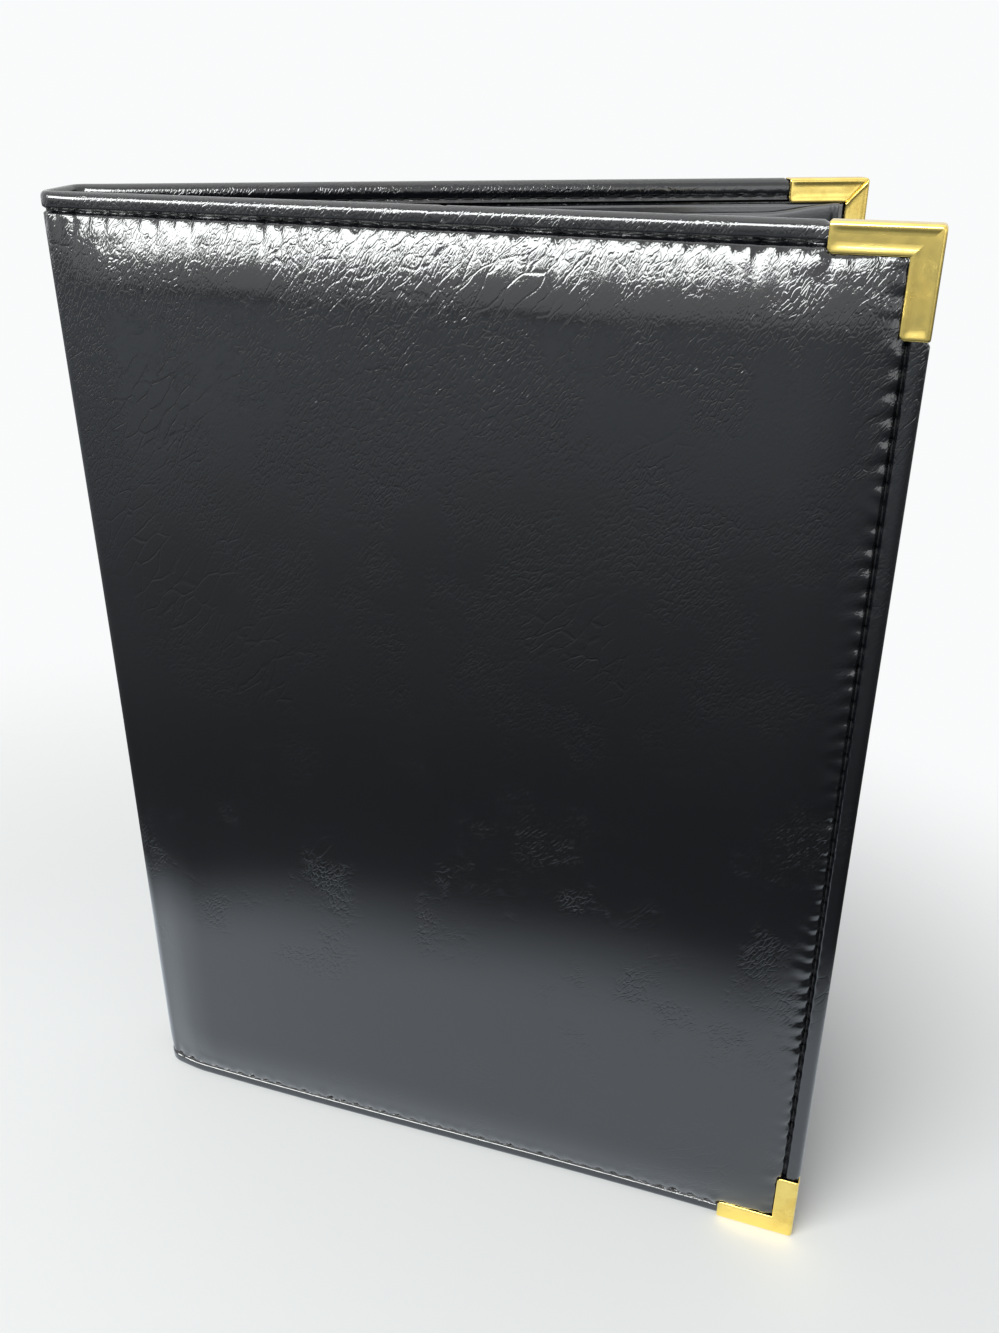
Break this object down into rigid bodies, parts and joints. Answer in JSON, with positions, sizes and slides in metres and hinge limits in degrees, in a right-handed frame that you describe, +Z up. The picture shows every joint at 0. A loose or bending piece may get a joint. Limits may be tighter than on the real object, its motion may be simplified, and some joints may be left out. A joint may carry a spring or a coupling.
{
  "type": "leather portfolio",
  "caption": "Padded leather portfolio with stitched rims, brass corner clasps and inside pockets, standing on edge with its covers part open.",
  "frame": {"origin": "on the standing surface, under the middle of the standing portfolio", "axes": "+Z up along the spine, +X from the spine to the fore-edges, -Y out of the front cover"},
  "size_m": [0.2348, 0.129, 0.318],
  "materials": {
    "hide": "glossy black grained bonded leather",
    "lining": "satin black leatherette",
    "brass": "polished with light handling scratches",
    "board": "grey binder's board, hidden",
    "foam": "soft foam sheet, hidden",
    "elastic": "ribbed black elastic"
  },
  "bodies": {
    "spine": {"spine_hide": "hide", "spine_stiffener": "board", "spine_lining": "lining"},
    "front_cover": {"front_cover_hide": "hide", "front_cover_padding": "foam", "front_cover_board": "board", "front_cover_lining": "lining", "document_pocket": "lining", "card_pocket": "lining", "front_top_corner": "brass", "front_bottom_corner": "brass"},
    "back_cover": {"back_cover_hide": "hide", "back_cover_padding": "foam", "back_cover_board": "board", "back_cover_lining": "lining", "pad_pocket": "lining", "pen_loop": "elastic", "back_top_corner": "brass", "back_bottom_corner": "brass"}
  },
  "joints": [
    {"name": "front_hinge", "type": "hinge", "parent": "spine", "child": "front_cover", "pos_m": [-0.11738, -0.012, 0.159], "axis": [0, 0, -1], "range_deg": [-12.5, 77.5]},
    {"name": "back_hinge", "type": "hinge", "parent": "spine", "child": "back_cover", "pos_m": [-0.11738, 0.012, 0.159], "axis": [0, 0, 1], "range_deg": [-12.5, 77.5]}
  ]
}
